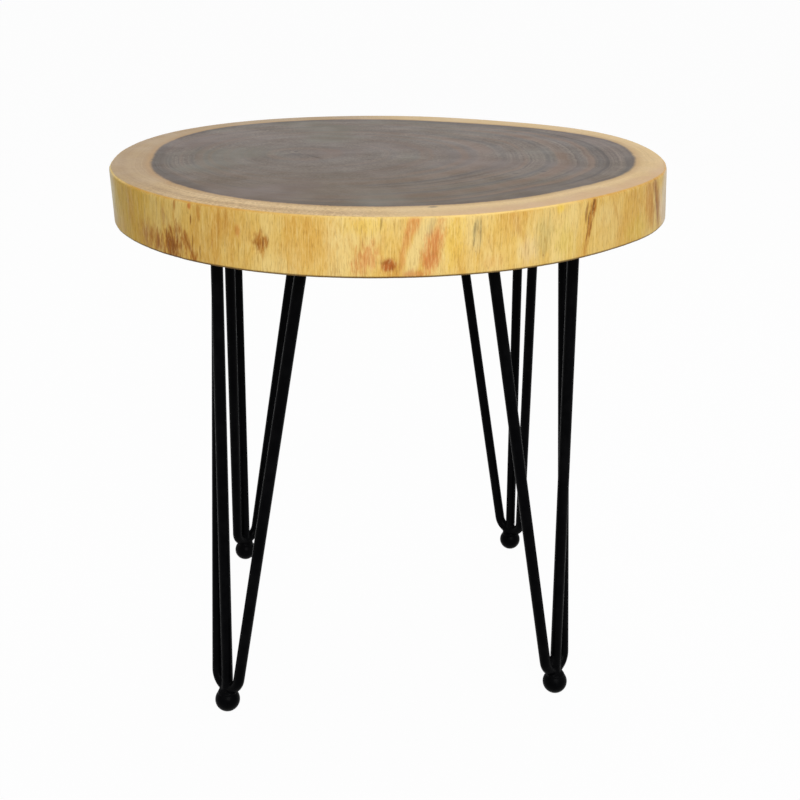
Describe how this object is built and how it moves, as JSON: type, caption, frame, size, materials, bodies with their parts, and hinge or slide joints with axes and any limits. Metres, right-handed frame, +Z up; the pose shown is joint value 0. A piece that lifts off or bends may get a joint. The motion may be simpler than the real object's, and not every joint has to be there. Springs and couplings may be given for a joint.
{
  "type": "side table",
  "caption": "Round side table: a thick slice of a log with a live edge, on welded steel rod legs with ball feet, each a hairpin with an outer brace under a three-cornered plate.",
  "frame": {"origin": "on the floor, under the centre of the table's bounding box", "axes": "+Z up; +Y to the back, away from the viewer of the picture and along the slice's longest width; +X to the viewer's right"},
  "size_m": [0.4984, 0.5186, 0.478],
  "materials": {
    "log_slice": "sanded and matt-oiled end grain, grey-brown heartwood in a tan sapwood ring, with a peeled and sanded yellow edge",
    "black_steel": "fine satin black powder coat",
    "black_screw": "black phosphate, slightly shiny"
  },
  "bodies": {
    "root": {"tabletop_slab": "log_slice", "front_left_plate": "black_steel", "front_left_hairpin_rod": "black_steel", "front_left_brace_rod": "black_steel", "front_left_ball_foot": "black_steel", "front_left_foot_weld": "black_steel", "front_left_plate_welds": "black_steel", "front_left_screws": "black_screw", "front_right_plate": "black_steel", "front_right_hairpin_rod": "black_steel", "front_right_brace_rod": "black_steel", "front_right_ball_foot": "black_steel", "front_right_foot_weld": "black_steel", "front_right_plate_welds": "black_steel", "front_right_screws": "black_screw", "back_right_plate": "black_steel", "back_right_hairpin_rod": "black_steel", "back_right_brace_rod": "black_steel", "back_right_ball_foot": "black_steel", "back_right_foot_weld": "black_steel", "back_right_plate_welds": "black_steel", "back_right_screws": "black_screw", "back_left_plate": "black_steel", "back_left_hairpin_rod": "black_steel", "back_left_brace_rod": "black_steel", "back_left_ball_foot": "black_steel", "back_left_foot_weld": "black_steel", "back_left_plate_welds": "black_steel", "back_left_screws": "black_screw"}
  },
  "joints": []
}
